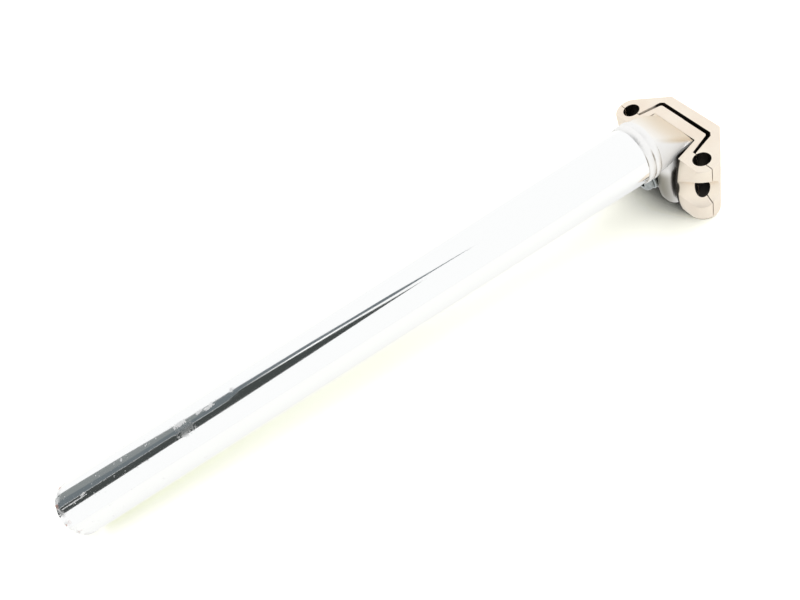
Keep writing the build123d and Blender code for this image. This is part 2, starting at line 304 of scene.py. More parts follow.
def noise_value(tree, place, scale, detail, rough=0.55):
    """A noise from about zero to one."""
    inputs = {"Vector": place, "Scale": scale, "Detail": detail, "Roughness": rough}
    return tree_node(tree, "ShaderNodeTexNoise", inputs).outputs["Fac"]


def ramp(tree, value, low, high, start=0.0, end=1.0):
    """A value stretched from one range to another, and held at its ends."""
    inputs = {"Value": value, "From Min": low, "From Max": high, "To Min": start, "To Max": end}
    return tree_node(tree, "ShaderNodeMapRange", inputs, interpolation_type="SMOOTHSTEP").outputs["Result"]


def patches(tree, place, kind, start=0.0, end=1.0):
    """Patches of one kind: noise that fades in between two of its levels."""
    *grain, low, high = kind
    return ramp(tree, noise_value(tree, place, *grain), low, high, start, end)


def math_node(tree, operation, first, second):
    """Two values put together."""
    return tree_node(tree, "ShaderNodeMath", {0: first, 1: second}, operation=operation).outputs[0]


def combined(tree, operation, values):
    """Some values put together one after the other."""
    found = values[0]
    for value in values[1:]:
        found = math_node(tree, operation, found, value)
    return found


def largest(tree, *values):
    """The largest of some values."""
    return combined(tree, "MAXIMUM", values)


def product(tree, *values):
    """Some values times each other."""
    return combined(tree, "MULTIPLY", values)


def opposite(tree, share):
    """What a share leaves of the whole."""
    return math_node(tree, "SUBTRACT", 1.0, share)


def blend_colours(tree, share, first, second):
    """One colour going over into another."""
    inputs = {0: share, 6: paint(first), 7: paint(second)}
    return tree_node(tree, "ShaderNodeMix", inputs, data_type="RGBA").outputs[2]


def dress(tree, shader, colour, roughness, layers):
    """Link a shader's colour, roughness and fine relief: heights, each with its depth in metres."""
    tree.links.new(colour, shader.inputs["Base Color"])
    tree.links.new(roughness, shader.inputs["Roughness"])
    normal = None
    for height, depth in layers:
        inputs = {"Height": height, "Distance": depth, "Strength": 1.0}
        if normal is not None:
            inputs["Normal"] = normal
        normal = tree_node(tree, "ShaderNodeBump", inputs).outputs["Normal"]
    tree.links.new(normal, shader.inputs["Normal"])


def plane_distance(tree, place, point, normal):
    """Signed distance from the plane through a point, with a normal of unit length."""
    along = vector_node(tree, "DOT_PRODUCT", place, normal)["Value"]
    return math_node(tree, "SUBTRACT", along, Vector(point).dot(normal))


# Kinds of patches: scale, detail and roughness of the noise, and the levels between which it fades in
RAGGED_EDGE = (900.0, 3.0, 0.55, 0.3, 0.7)
FLECKS = (620.0, 3.0, 0.65, 0.66, 0.72)
RIM_WEAR = (420.0, 3.0, 0.55, 0.42, 0.58)
RIM_STAINS = (330.0, 3.0, 0.55, 0.55, 0.66)
HATCH = (1.0, 2.0, 0.55, 0.5, 0.75)
STREAKS = (1.0, 2.0, 0.55, 0.3, 0.75)
SATIN_TONE = (75.0, 4.0, 0.55, 0.3, 0.8)
SATIN_SPECKS = (900.0, 2.0, 0.55, 0.70, 0.76)
# Patches of the painted shade along the weld's passes
WELD_CREASE_SHADE = (160.0, 4.0, 0.55, 0.35, 0.65)
STEEL_MARKS = (420.0, 4.0, 0.55, 0.4, 0.75)

# Stretch of the lines in the finishes, with the tube's length as the third axis of its own frame
DRAWN_LINES = (1600, 1600, 9)
STREAK_LINES = (420, 420, 16)
HATCH_LINES = (900, 900, 2600)
CUTTER_LINES = (140, 2200, 140)
STEEL_LINES = (700, 3200, 700)

# Reach and strength of the wear on the tube
RAGGED_REACH = 0.45
OVAL_EDGE = (0.85, 1.1)
HATCH_SHARE = 0.12
BORE_SHARE = 0.96
RIM_REACH = (1.2 * MM, 4.5 * MM)

# Scuffs on the tube: millimetres along it, degrees round it from the top, length, width, strength
TUBE_SCUFFS = (
    (68.1, -5.0, 6.0, 2.6, 1.0),
    (69.5, -20.0, 9.0, 6.0, 0.35),
    (78.3, -6.0, 4.0, 1.4, 1.0),
    (83.0, -8.0, 5.0, 1.6, 1.0),
    (84.6, -6.0, 1.4, 2.8, 1.0),
    (95.8, -3.0, 1.6, 2.6, 1.0),
    (36.5, -2.0, 0.9, 2.2, 0.8),
    (15.0, -19.0, 2.6, 1.0, 1.0),
    (8.6, -23.0, 15.0, 0.5, 1.0),
)


def tube_scuffs(tree, along, around, ragged):
    """Marks on the polish, each an oval with a ragged edge."""
    unrolled = tree_node(tree, "ShaderNodeCombineXYZ", {"X": along, "Y": around}).outputs[0]
    marks = []
    for middle, degrees, length, width, strength in TUBE_SCUFFS:
        turn = math.radians(degrees) * TUBE_RADIUS / MM
        settled = {
            "Vector": unrolled,
            "Location": (-middle * 2 / length, -turn * 2 / width, 0),
            "Scale": (2 / (length * MM), 2 / (width * MM), 1),
        }
        oval = tree_node(tree, "ShaderNodeMapping", settled).outputs["Vector"]
        away = math_node(tree, "ADD", vector_node(tree, "LENGTH", oval)["Value"], ragged)
        marks.append(ramp(tree, away, *OVAL_EDGE, strength, 0.0))
    return largest(tree, *marks)


def polished_tube_metal(props):
    """Polished tube: fine lengthwise marks, scuffs near the lower end and stains on its rim."""
    made, tree, shader = metal("polished_tube")
    place = object_place(tree, axis_matrix(TUBE_FOOT, POST_AXIS))
    parts = axes(tree, place)
    along = parts["Z"]
    upward = product(tree, parts["X"], -1.0)
    around = product(tree, math_node(tree, "ARCTAN2", parts["Y"], upward), TUBE_RADIUS)
    bore = math_node(tree, "LESS_THAN", axis_distance(tree, place), TUBE_RADIUS - BORE_SHARE * props.wall)
    outside = opposite(tree, bore)

    worn_end = ramp(tree, along, 0.0, props.worn_length, 1.0, 0.0)
    ragged = patches(tree, place, RAGGED_EDGE, -RAGGED_REACH, RAGGED_REACH)
    marks = tube_scuffs(tree, along, around, ragged)
    flecks = product(tree, patches(tree, place, FLECKS), worn_end)
    lines = patches(tree, stretched(tree, place, HATCH_LINES), HATCH)
    hatch = product(tree, lines, worn_end, HATCH_SHARE)
    rim = product(tree, ramp(tree, along, *RIM_REACH, 1.0, 0.0), outside)
    scuffs = largest(tree, marks, flecks, product(tree, rim, patches(tree, place, RIM_WEAR)))
    wear = product(tree, largest(tree, scuffs, hatch), outside)
    stains = product(tree, rim, patches(tree, place, RIM_STAINS))

    worn = blend_colours(tree, wear, props.colour, props.worn_colour)
    stained = blend_colours(tree, stains, worn, props.rim_colour)
    colour = blend_colours(tree, bore, stained, props.bore_colour)
    streaks = stretched(tree, place, STREAK_LINES)
    clean = patches(tree, streaks, STREAKS, props.roughness * 0.75, props.roughness * 1.5)
    dulled = product(tree, largest(tree, wear, bore), props.worn_roughness)
    fine = noise_value(tree, stretched(tree, place, DRAWN_LINES), 1.0, 4.0)
    rough = math_node(tree, "ADD", clean, dulled)
    dress(tree, shader, colour, rough, [(fine, 0.0012 * MM), (scuffs, 0.02 * MM)])
    return made


# Softness of the borders between finishes and painted shade on the clamp
EDGE = 0.06 * MM
MIDDLE_FADE = 1.0 * MM

# Where the clamp's finishes and painted shade fade in, in the clamp's frame
LEG_FRONT = (FRONT_FACE - 12 * MM, FRONT_FACE - 6 * MM)
LEG_CREASE = (0.9 * MM, 1.5 * MM)
# Reach and strength of the painted shade on the legs
LEG_SHADE_REACH = 8.0 * MM
LEG_SHADE_SHARE = 0.8
RECESS_ROOF = (0.7, 0.95)
BEVEL_FADE = 1.6 * MM


def clamp_place(tree):
    """Coordinates in the clamp's frame."""
    return object_place(tree, CLAMP_FRAME)


def folded_place(tree):
    """Coordinates in the clamp's frame, with both sides of its middle folded into one."""
    parts = axes(tree, clamp_place(tree))
    across = math_node(tree, "ABSOLUTE", parts["X"], 0.0)
    folded = {"X": across, "Y": parts["Y"], "Z": parts["Z"]}
    return tree_node(tree, "ShaderNodeCombineXYZ", folded).outputs[0]


def zone(tree, place, **fades):
    """One in a zone: on each axis it fades in from the first measure to the second, in millimetres."""
    parts = axes(tree, place)
    shares = []
    for axis, (clear, full) in fades.items():
        ends = (0.0, 1.0) if clear < full else (1.0, 0.0)
        shares.append(ramp(tree, parts[axis], min(clear, full) * MM, max(clear, full) * MM, *ends))
    return product(tree, *shares)


def near_side(tree):
    """One on the clamp's near side, none on its far side."""
    return ramp(tree, axes(tree, clamp_place(tree))["X"], -MIDDLE_FADE, MIDDLE_FADE)


def off_front(tree, parts):
    """One everywhere but on the clamp's front face."""
    return math_node(tree, "LESS_THAN", parts["Z"], FRONT_FACE - EDGE)


def tongue_distance(tree, place, props, top_gap, side_gap):
    """Distance outside the tongue's outline in the front view, grown by a gap over and beside it."""
    top = props.tongue_height + top_gap
    half = props.tongue_half_width + side_gap
    foot = props.tongue_foot + side_gap
    corner = Vector((half, top, 0))
    roof = Vector((0, 1, 0))
    flank = Vector((top - props.land_height, foot - half, 0)).normalized()
    middle = (roof + flank).normalized()
    inset = (props.tongue_round + side_gap) * (1 / middle.dot(roof) - 1)
    sides = ((corner, roof), (corner, flank), (corner - middle * inset, middle))
    return largest(tree, *[plane_distance(tree, place, point, normal) for point, normal in sides])


def rail_hole(tree, place):
    """One on the walls of the rail holes."""
    offset = vector_node(tree, "SUBTRACT", place, (RAIL_OFFSET, 0, 0))["Vector"]
    return ramp(tree, axis_distance(tree, offset), RAIL_RADIUS, RAIL_RADIUS + EDGE, 1.0, 0.0)


def lower_inner_shade(tree, props):
    """Painted shade on the lower clamp's faces: rail grooves, near side of the tongue, inside of the near leg."""
    place = folded_place(tree)
    parts = axes(tree, place)
    near = near_side(tree)
    over_land = math_node(tree, "GREATER_THAN", parts["Y"], props.land_height + EDGE)
    outside = ramp(tree, tongue_distance(tree, place, props, 0, 0), -2 * EDGE, -EDGE)
    tongue_side = product(tree, outside, over_land, near)
    seat_edge = Vector((props.leg_half_width, props.seat_height, 0))
    opened = Vector((props.seat_height + props.leg_depth, props.leg_flare, 0)).normalized()
    from_inside = plane_distance(tree, place, seat_edge, opened)
    near_leg = product(tree, math_node(tree, "LESS_THAN", parts["Y"], props.seat_height), near)
    inner_face = ramp(tree, from_inside, EDGE, 2 * EDGE, 1.0, 0.0)
    leg_edge = product(tree, inner_face, near_leg, ramp(tree, parts["Z"], *LEG_FRONT))
    beside = ramp(tree, from_inside, *LEG_CREASE, 1.0, 0.0)
    crease = product(tree, beside, near_leg, off_front(tree, parts))
    return largest(tree, rail_hole(tree, place), tongue_side, leg_edge, crease)


def leg_shade(tree, props):
    """Painted shade on the undersides of the clamp's legs, fading away from the head."""
    place = folded_place(tree)
    parts = axes(tree, place)
    inner = props.leg_half_width
    close = ramp(tree, parts["X"], inner, inner + LEG_SHADE_REACH, LEG_SHADE_SHARE, 0.0)
    return product(tree, close, zone(tree, place, Y=(4, -2)), off_front(tree, parts))


def upper_recess(tree, props, place):
    """One inside the upper clamp's recess over the tongue, and one towards its roof."""
    outside = tongue_distance(tree, place, props, props.slot_gap, props.slot_side_gap)
    low, high = (share * props.tongue_height for share in RECESS_ROOF)
    roof = ramp(tree, axes(tree, place)["Y"], low, high)
    return ramp(tree, outside, EDGE, 2 * EDGE, 1.0, 0.0), roof


def upper_inner_shade(tree, props):
    """Painted shade on the upper clamp's faces: rail grooves and the roof of the recess over the tongue."""
    place = folded_place(tree)
    inside, roof = upper_recess(tree, props, place)
    return largest(tree, rail_hole(tree, place), product(tree, inside, roof))


def upper_matt_wall(tree, props):
    """One on the far wall of the upper clamp's recess, which is made non-metallic so that it takes diffuse light
    and reads paler.
    """
    inside, roof = upper_recess(tree, props, folded_place(tree))
    return product(tree, inside, opposite(tree, roof), opposite(tree, near_side(tree)))


def head_underside_shade(tree, props):
    """Painted shade low on the head's sides, fading towards the saddle and the front."""
    return zone(tree, folded_place(tree), Y=(-4, -12), Z=(10, 3))


def near_flank(tree, props):
    """One on the near flank of the head, in front of the clamp's leg."""
    return zone(tree, clamp_place(tree), X=(7, 10), Z=(6, 10))


def flank_gap_shade(tree, props):
    """Painted shade where the head's near flank goes down into the gap beside the leg."""
    return zone(tree, clamp_place(tree), X=(8, 9), Y=(-6, -3), Z=(17, 15.5))


def seat_edge_shade(tree, props):
    """Painted shade along the near half of the head's edge under the clamp."""
    seat = props.seat_height / MM
    return zone(tree, clamp_place(tree), X=(5, 11), Y=(seat - 0.6, seat - 0.2), Z=(10, 12))


def bevel_face(tree, props):
    """One on the head's bevel, going over softly into the neck."""
    place = folded_place(tree)
    slant = math.radians(props.bevel_degrees)
    front_edge = Vector((0, props.seat_height, FRONT_FACE))
    level = plane_distance(tree, place, front_edge, Vector((0, math.sin(slant), math.cos(slant))))
    return product(tree, ramp(tree, level, -BEVEL_FADE, 0.0), zone(tree, place, Y=(-14, 1)))


def satin_metal(name, props, colour, shade, roughness, mark_depth, areas, matt_wall=None):
    """Satin metal: even grain, faint cutter marks, a slow change of tone, and areas in other finishes and in
    painted shade.
    """
    made, tree, shader = metal(name)
    place = object_place(tree)
    worn = largest(tree, patches(tree, place, SATIN_TONE), patches(tree, place, SATIN_SPECKS))
    base = blend_colours(tree, worn, colour, shade)
    grain = noise_value(tree, place, 1.0 / props.grain_size, 2.0)
    rough = ramp(tree, grain, 0.25, 0.8, roughness * 0.85, roughness * 1.25)
    for area, area_colour, area_roughness in areas:
        share = area(tree, props)
        base = blend_colours(tree, share, base, area_colour)
        rough = math_node(tree, "ADD", rough, product(tree, share, area_roughness - roughness))
    # Where this mask is one the metal turns non-metallic and reads paler
    if matt_wall is not None:
        tree.links.new(opposite(tree, matt_wall(tree, props)), shader.inputs["Metallic"])
    marks = noise_value(tree, stretched(tree, place, CUTTER_LINES), 1.0, 2.0)
    dress(tree, shader, base, rough, [(grain, 0.008 * MM), (marks, mark_depth)])
    return made


# Where the painted shade on the weld fades, from the edges of its passes and up its sides
PASS_EDGE = (0.12 * MM, 0.5 * MM)
PASS_SIDES = (-0.78 * TUBE_RADIUS, -0.5 * TUBE_RADIUS)


def weld_metal(props):
    """Weld: bright passes, with fine pits, and painted shade in the creases along their edges, low on the sides.
    """
    made, tree, shader = metal("weld_metal")
    place = object_place(tree, axis_matrix(WELD_MIDDLE, POST_AXIS))
    parts = axes(tree, place)
    along = math_node(tree, "ABSOLUTE", parts["Z"], 0.0)
    toe = math_node(tree, "SUBTRACT", WELD_WIDTH / 2, along)
    edge = ramp(tree, math_node(tree, "MINIMUM", along, toe), *PASS_EDGE, 1.0, 0.0)
    low_sides = ramp(tree, parts["X"], *PASS_SIDES)
    # Painted shade at the passes' edges, patchy, on the low sides only
    crease_shade = product(tree, edge, low_sides, patches(tree, place, WELD_CREASE_SHADE, 0.4, 1.0))
    colour = blend_colours(tree, crease_shade, props.colour, props.crease_shade_colour)
    rough = ramp(tree, crease_shade, 0.0, 1.0, props.roughness, props.roughness * 1.7)
    dress(tree, shader, colour, rough, [(noise_value(tree, place, 2600.0, 2.0), 0.006 * MM)])
    return made


def steel(props):
    """Plain steel of the fasteners, lightly brushed, with darker handling marks and painted shade down in the
    socket.
    """
    made, tree, shader = metal("fastener_steel")
    place = object_place(tree)
    outer = blend_colours(tree, patches(tree, place, STEEL_MARKS), props.colour, props.shade)
    on_bolt = object_place(tree, axis_matrix(BOLT_SEAT - BOLT_AXIS * BOLT_HEAD_HEIGHT, BOLT_AXIS))
    depth = axes(tree, on_bolt)["Z"]
    # Painted shade down in the bolt's socket
    narrow = math_node(tree, "LESS_THAN", axis_distance(tree, on_bolt), 0.62 * props.socket_size)
    shallow = math_node(tree, "LESS_THAN", depth, props.socket_depth + 0.5 * MM)
    socket = product(tree, narrow, shallow, ramp(tree, depth, 0.1 * MM, 0.8 * MM))
    colour = blend_colours(tree, socket, outer, props.socket_shade_colour)
    grain = noise_value(tree, stretched(tree, place, STEEL_LINES), 1.0, 2.0)
    rough = ramp(tree, grain, 0.3, 0.75, props.roughness * 0.8, props.roughness * 1.4)
    dress(tree, shader, colour, rough, [(grain, 0.004 * MM)])
    return made


def finish_node(node, finish):
    """Give a CAD node its finish."""
    for slot in frame["nodes"][node].material_slots:
        slot.material = finish


def turn_angles(count):
    """Angles spaced evenly round a full turn."""
    return [2 * math.pi * i / count for i in range(count)]


def polar(radius, angle, height):
    """A point at a radius, an angle and a height."""
    return Vector((radius * math.cos(angle), radius * math.sin(angle), height))


# Points round a fastener
FASTENER_COUNT = 96


def circle(radius, height, count=FASTENER_COUNT):
    """A level ring of points."""
    return [polar(radius, angle, height) for angle in turn_angles(count)]


def hexagon(size, height):
    """A level ring of points on a hexagon, size across its flats."""
    sixth = math.pi / 3
    return [
        polar(size / 2 / math.cos(angle % sixth - sixth / 2), angle, height)
        for angle in turn_angles(FASTENER_COUNT)
    ]


def skin(name, rings, matrix, loop=False, caps=False, sharp_degrees=30.0):
    """A mesh skinned over rings of points, put in place by a matrix."""
    work = bmesh.new()
    rows = [[work.verts.new(matrix @ point) for point in ring] for ring in rings]
    pairs = list(zip(rows, rows[1:]))
    if loop:
        pairs.append((rows[-1], rows[0]))
    for low, high in pairs:
        for i in range(len(low)):
            j = (i + 1) % len(low)
            work.faces.new((low[i], low[j], high[j], high[i]))
    if caps:
        work.faces.new(rows[0][::-1])
        work.faces.new(rows[-1])
    bmesh.ops.recalc_face_normals(work, faces=work.faces)
    mesh = bpy.data.meshes.new(name)
    work.to_mesh(mesh)
    work.free()
    mesh.shade_smooth()
    mesh.set_sharp_from_angle(angle=math.radians(sharp_degrees))
    return mesh


def settle(name, mesh, finish, node, body):
    """Put a finished piece in the place of its CAD node."""
    mesh.materials.append(finish)
    piece = bpy.data.objects.new(name, mesh)
    bpy.context.scene.collection.objects.link(piece)
    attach(piece, body)
    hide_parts(node)


def reach_radius(node, height):
    """The largest distance of a CAD node from the tube's line at a height along it."""
    found = 0.0
    for vertex in frame["nodes"][node].data.vertices:
        offset = vertex.co - TUBE_FOOT
        along = offset.dot(POST_AXIS)
        if abs(along - height) < 0.05 * MM:
            found = max(found, (offset - POST_AXIS * along).length)
    return found


class SEATPOST_OT_tube(bpy.types.Operator):
    """Make the polished tube, with the dents of its worn lower rim"""

    bl_idname = "seatpost.tube"
    bl_label = "Polished Tube"

    COUNT = 192
    STATIONS = (0.8, 0.6, 0.4, 0.25, 0.15, 0.09, 0.05, 0.025, 0.015)
    RIM_ROUND = 0.8 * MM
    RIM_STEPS = 5
    BORE_BREAK = 0.25 * MM
    DENT_REACH = 3.0 * MM
    DENT_WAVES = 4.2
    DENT_START = Vector((3.1, 0.0, 7.7))
    DENT_LEVEL = 0.12
    NICK_WAVES = 3.3
    NICK_START = Vector((0.0, 9.0, 0.0))
    NICK_LEVEL = 0.30

    def profile(self, props):
        """Radius and height along the tube's section, from the weld down the outside and up the bore."""
        bore = TUBE_RADIUS - props.wall
        bevel_low = TUBE_LENGTH - WELD_WIDTH / 2
        lowered = max(reach_radius("post_tube", TUBE_LENGTH), bore)
        points = [(lowered, TUBE_LENGTH), (TUBE_RADIUS, bevel_low)]
        points += [(TUBE_RADIUS, TUBE_LENGTH * share) for share in self.STATIONS]
        points.append((TUBE_RADIUS, self.DENT_REACH))
        for step in range(self.RIM_STEPS + 1):
            angle = math.pi / 2 * step / self.RIM_STEPS
            away = TUBE_RADIUS - self.RIM_ROUND * (1 - math.cos(angle))
            points.append((away, self.RIM_ROUND * (1 - math.sin(angle))))
        points.append((bore + self.BORE_BREAK, 0.0))
        bore_heights = (self.BORE_BREAK, self.DENT_REACH, TUBE_LENGTH * 0.5, TUBE_LENGTH)
        return points + [(bore, height) for height in bore_heights]

    def dented(self, point, height, depth):
        """A point of the rim, pushed in and up by the dents and nicks."""
        hurt = max(0.0, 1.0 - height / self.DENT_REACH)
        facing = Vector((point.x, point.y, 0)).normalized() * self.DENT_WAVES
        dent = max(0.0, noise.noise(facing + self.DENT_START) - self.DENT_LEVEL) * hurt
        nick = max(0.0, noise.noise(facing * self.NICK_WAVES + self.NICK_START) - self.NICK_LEVEL) * hurt
        inward = 1 - dent * depth / TUBE_RADIUS
        upward = (dent + nick) * depth if height < self.RIM_ROUND else 0.0
        return Vector((point.x * inward, point.y * inward, point.z + upward))

    def execute(self, context):
        props = context.scene.seatpost_tube
        rings = []
        for radius, height in self.profile(props):
            ring = circle(radius, height, self.COUNT)
            rings.append([self.dented(point, height, props.dent_depth) for point in ring])
        mesh = skin("worn_tube", rings, axis_matrix(TUBE_FOOT, POST_AXIS), loop=True)
        settle("worn_tube", mesh, polished_tube_metal(props), "post_tube", "post")
        return {"FINISHED"}


class SEATPOST_OT_weld(bpy.types.Operator):
    """Make the two-pass weld bead with its ripples"""

    bl_idname = "seatpost.weld"
    bl_label = "Weld Bead"

    AROUND = 480
    ACROSS = 11
    CREST = 0.6 * MM
    VALLEY = 0.35 * MM
    ROOT = 1.2 * MM
    TOE = 0.05 * MM
    BOW = 0.55
    SECOND_START = 0.37
    RIPPLE_LEAN = 0.6
    UNEVEN = 0.35
    UNEVEN_WAVES = 2.5
    WANDER = 0.12 * MM
    WANDER_WAVES = 3.0

    def ring(self, props, middle, start, share):
        """One ring of a pass, at a share from -1 to 1 across it."""
        half = WELD_WIDTH / 2
        count = round(2 * math.pi * TUBE_RADIUS / props.ripple_pitch)
        dome = 1 - share * share
        foot = -self.TOE if share * middle > 0 else self.VALLEY
        rise = foot + (self.CREST - props.ripple_height - foot) * dome
        height = props.ripple_height * (1 - abs(share) ** 3)
        points = []
        for angle in turn_angles(self.AROUND):
            phase = angle * count / (2 * math.pi) + start + self.BOW * dome
            phase += self.UNEVEN * noise.noise(polar(1, angle, middle / half) * self.UNEVEN_WAVES)
            ripple = math.sin(math.pi * (phase % 1.0) ** self.RIPPLE_LEAN) * height
            wander = self.WANDER * noise.noise(polar(1, angle, start) * self.WANDER_WAVES)
            along = middle + share * half / 2 + wander * (1 - abs(share))
            points.append(polar(TUBE_RADIUS + rise + ripple, angle, along))
        return points

    def execute(self, context):
        props = context.scene.seatpost_weld
        quarter = WELD_WIDTH / 4
        shares = [2 * step / (self.ACROSS - 1) - 1 for step in range(self.ACROSS)]
        rings = [self.ring(props, -quarter, 0.0, share) for share in shares]
        rings += [self.ring(props, quarter, self.SECOND_START, share) for share in shares[1:]]
        rings.append(circle(TUBE_RADIUS - self.ROOT, 0.0, self.AROUND))
        matrix = axis_matrix(WELD_MIDDLE, POST_AXIS)
        mesh = skin("rippled_weld", rings, matrix, loop=True, sharp_degrees=70.0)
        settle("rippled_weld", mesh, weld_metal(props), "weld_bead", "post")
        return {"FINISHED"}


class SEATPOST_OT_clamp(bpy.types.Operator):
    """Finish the head and both clamp halves in satin metal"""

    bl_idname = "seatpost.clamp"
    bl_label = "Head and Clamp"

    HEAD_MARKS = 0.004 * MM
    CLAMP_MARKS = 0.003 * MM

    def execute(self, context):
        props = context.scene.seatpost_clamp
        head = (props.head_colour, props.head_shade, props.head_roughness, self.HEAD_MARKS)
        clamp = (props.clamp_colour, props.clamp_shade, props.clamp_roughness, self.CLAMP_MARKS)
        # The inner colour is painted shade for the hollows and gaps
        inner = (props.inner_shade_colour, props.inner_roughness)
        head_areas = (
            (near_flank, props.head_colour, props.flank_roughness),
            (bevel_face, props.bevel_colour, props.clamp_roughness),
            (head_underside_shade, props.underside_shade_colour, props.clamp_roughness),
            (seat_edge_shade, *inner),
            (flank_gap_shade, *inner),
        )
        lower_areas = ((leg_shade, props.leg_shade_colour, props.clamp_roughness), (lower_inner_shade, *inner))
        upper_areas = ((upper_inner_shade, *inner),)
        finish_node("post_head", satin_metal("satin_head", props, *head, head_areas))
        finish_node("lower_clamp", satin_metal("satin_lower_clamp", props, *clamp, lower_areas))
        finish_node("upper_clamp", satin_metal("satin_upper_clamp", props, *clamp, upper_areas, upper_matt_wall))
        return {"FINISHED"}


class SEATPOST_OT_fasteners(bpy.types.Operator):
    """Make the threaded bolt and the nut, and finish the curved washer"""

    bl_idname = "seatpost.fasteners"
    bl_label = "Bolt, Washer and Nut"

    THREAD_STEPS = 8
    THREAD_DEPTH = 0.6
    THREAD_ROOT = 1.25
    THREAD_SLOPE = 3.2
    THREAD_RUN_IN = 0.5 * MM
    DOME_STEPS = 6
    DOME_FLAT = 0.64
    HEAD_BAND = 1.5 * MM
    HEAD_BREAK = 0.25 * MM
    SOCKET_MOUTH = (0.35 * MM, 0.2 * MM)
    SOCKET_FLOOR = (0.2 * MM, 0.35 * MM)
    SOCKET_TAPER = (0.94, 0.9)
    NUT_FLAT = 0.97
    NUT_SLOPE = math.tan(math.radians(30))
    NUT_BREAK = 0.4 * MM

    def bolt_head_rings(self, props):
        """Rings from the socket's floor over the domed head to the shank."""
        low = -BOLT_HEAD_HEIGHT
        size = props.socket_size
        depth = props.socket_depth
        radius = props.head_diameter / 2
        flat = self.DOME_FLAT * radius
        point, drop = self.SOCKET_FLOOR
        floor_share, wall_share = self.SOCKET_TAPER
        wider, mouth = self.SOCKET_MOUTH
        rings = [
            circle(point, low + depth + drop),
            hexagon(size * floor_share, low + depth),
            hexagon(size, low + depth * wall_share),
            hexagon(size, low + mouth),
            hexagon(size + wider, low),
        ]
        for step in range(self.DOME_STEPS + 1):
            angle = math.pi / 2 * step / self.DOME_STEPS
            away = flat + (radius - flat) * math.sin(angle)
            height = low + (BOLT_HEAD_HEIGHT - self.HEAD_BAND) * (1 - math.cos(angle))
            rings.append(circle(away, height))
        rings.append(circle(radius, -self.HEAD_BREAK))
        rings.append(circle(radius - self.HEAD_BREAK, 0.0))
        return rings

    def bolt_shank_rings(self, props):
        """Rings up the shank: plain, then threaded to a chamfered tip."""
        crest = props.bolt_diameter / 2
        pitch = props.thread_pitch
        depth = self.THREAD_DEPTH * pitch
        start = BOLT_LENGTH - props.thread_length
        rings = [circle(crest, 0.0), circle(crest, start - self.THREAD_RUN_IN)]
        steps = round(props.thread_length / pitch * self.THREAD_STEPS)
        for step in range(steps + 1):
            height = start + props.thread_length * step / steps
            tip = max(0.0, height - (BOLT_LENGTH - depth))
            grow = min(1.0, (height - start) / pitch)
            ring = []
            for angle in turn_angles(FASTENER_COUNT):
                phase = (height / pitch - angle / (2 * math.pi)) % 1.0
                groove = min(1.0, max(0.0, self.THREAD_ROOT - abs(phase - 0.5) * self.THREAD_SLOPE))
                ring.append(polar(min(crest - depth * groove * grow, crest - tip), angle, height))
            rings.append(ring)
        return rings

    def nut_rings(self, props):
        """Rings round the nut's section, with the corners of both faces chamfered."""
        bore = props.nut_bore / 2
        mouth = bore + self.NUT_BREAK
        flat = props.nut_size / 2 * self.NUT_FLAT
        outer_low = hexagon(props.nut_size, 0.0)
        outer_high = hexagon(props.nut_size, 0.0)
        for low, high in zip(outer_low, outer_high):
            drop = max(0.0, low.xy.length - flat) * self.NUT_SLOPE
            low.z = NUT_LOW + drop
            high.z = NUT_HIGH - drop
        return [
            circle(bore, NUT_LOW + self.NUT_BREAK),
            circle(mouth, NUT_LOW),
            circle(flat, NUT_LOW),
            outer_low,
            outer_high,
            circle(flat, NUT_HIGH),
            circle(mouth, NUT_HIGH),
            circle(bore, NUT_HIGH - self.NUT_BREAK),
        ]

    def execute(self, context):
        props = context.scene.seatpost_fastener
        finish = steel(props)
        matrix = axis_matrix(BOLT_SEAT, BOLT_AXIS)
        bolt_rings = self.bolt_head_rings(props) + self.bolt_shank_rings(props)
        bolt = skin("threaded_bolt", bolt_rings, matrix, caps=True)
        settle("threaded_bolt", bolt, finish, "clamp_bolt", "bolt")
        nut = skin("hex_nut", self.nut_rings(props), matrix, loop=True, sharp_degrees=20.0)
        settle("hex_nut", nut, finish, "clamp_nut", "jaw")
        finish_node("seat_washer", finish)
        return {"FINISHED"}


